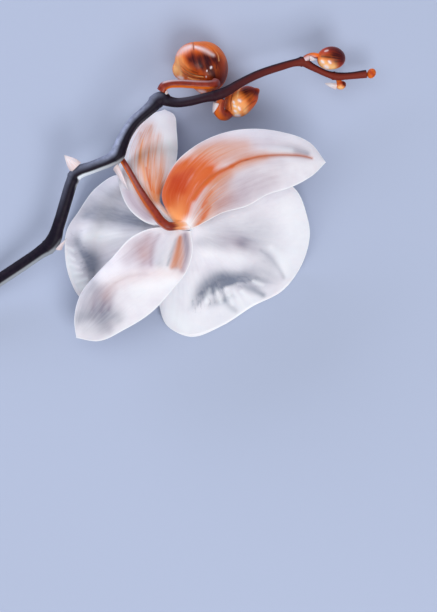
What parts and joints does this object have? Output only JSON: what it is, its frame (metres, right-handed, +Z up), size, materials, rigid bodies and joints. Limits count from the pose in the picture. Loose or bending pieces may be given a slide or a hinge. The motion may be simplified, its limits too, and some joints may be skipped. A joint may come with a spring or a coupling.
{
  "type": "orchid flower spray",
  "caption": "Cut spray of a large white moth orchid lying face down: open flower seen from its back, with its zigzag spike, bracts and unopened buds.",
  "frame": {"origin": "middle of the spray's bounding box on the table, z = 0", "axes": "+Z up from the table; +X along the length of the spray, from the spike's cut end towards its tip"},
  "size_m": [0.1522, 0.103, 0.0343],
  "materials": {
    "white_tepal": "satin",
    "dark_spike": "satin",
    "red_stalk": "satin",
    "amber_bud": "gloss",
    "pale_bract": "matte",
    "lip_flesh": "satin"
  },
  "bodies": {
    "root": {"spike_stem": "dark_spike", "flower_pedicel": "red_stalk", "dorsal_sepal": "white_tepal", "lateral_sepal_left": "white_tepal", "lateral_sepal_right": "white_tepal", "petal_left": "white_tepal", "petal_right": "white_tepal", "column": "white_tepal", "anther_cap": "white_tepal", "lip": "lip_flesh", "bud_large": "amber_bud", "bud_large_pedicel": "red_stalk", "bud_second": "amber_bud", "bud_second_pedicel": "red_stalk", "bud_third": "amber_bud", "bud_third_pedicel": "red_stalk", "bud_tiny": "amber_bud", "spike_tip_bud": "amber_bud", "bract_low": "pale_bract", "bract_bend": "pale_bract", "bract_flower": "pale_bract", "bract_bud_large": "pale_bract", "bract_bud_second": "pale_bract", "bract_bud_third": "pale_bract", "bract_bud_tiny": "pale_bract"}
  },
  "joints": []
}
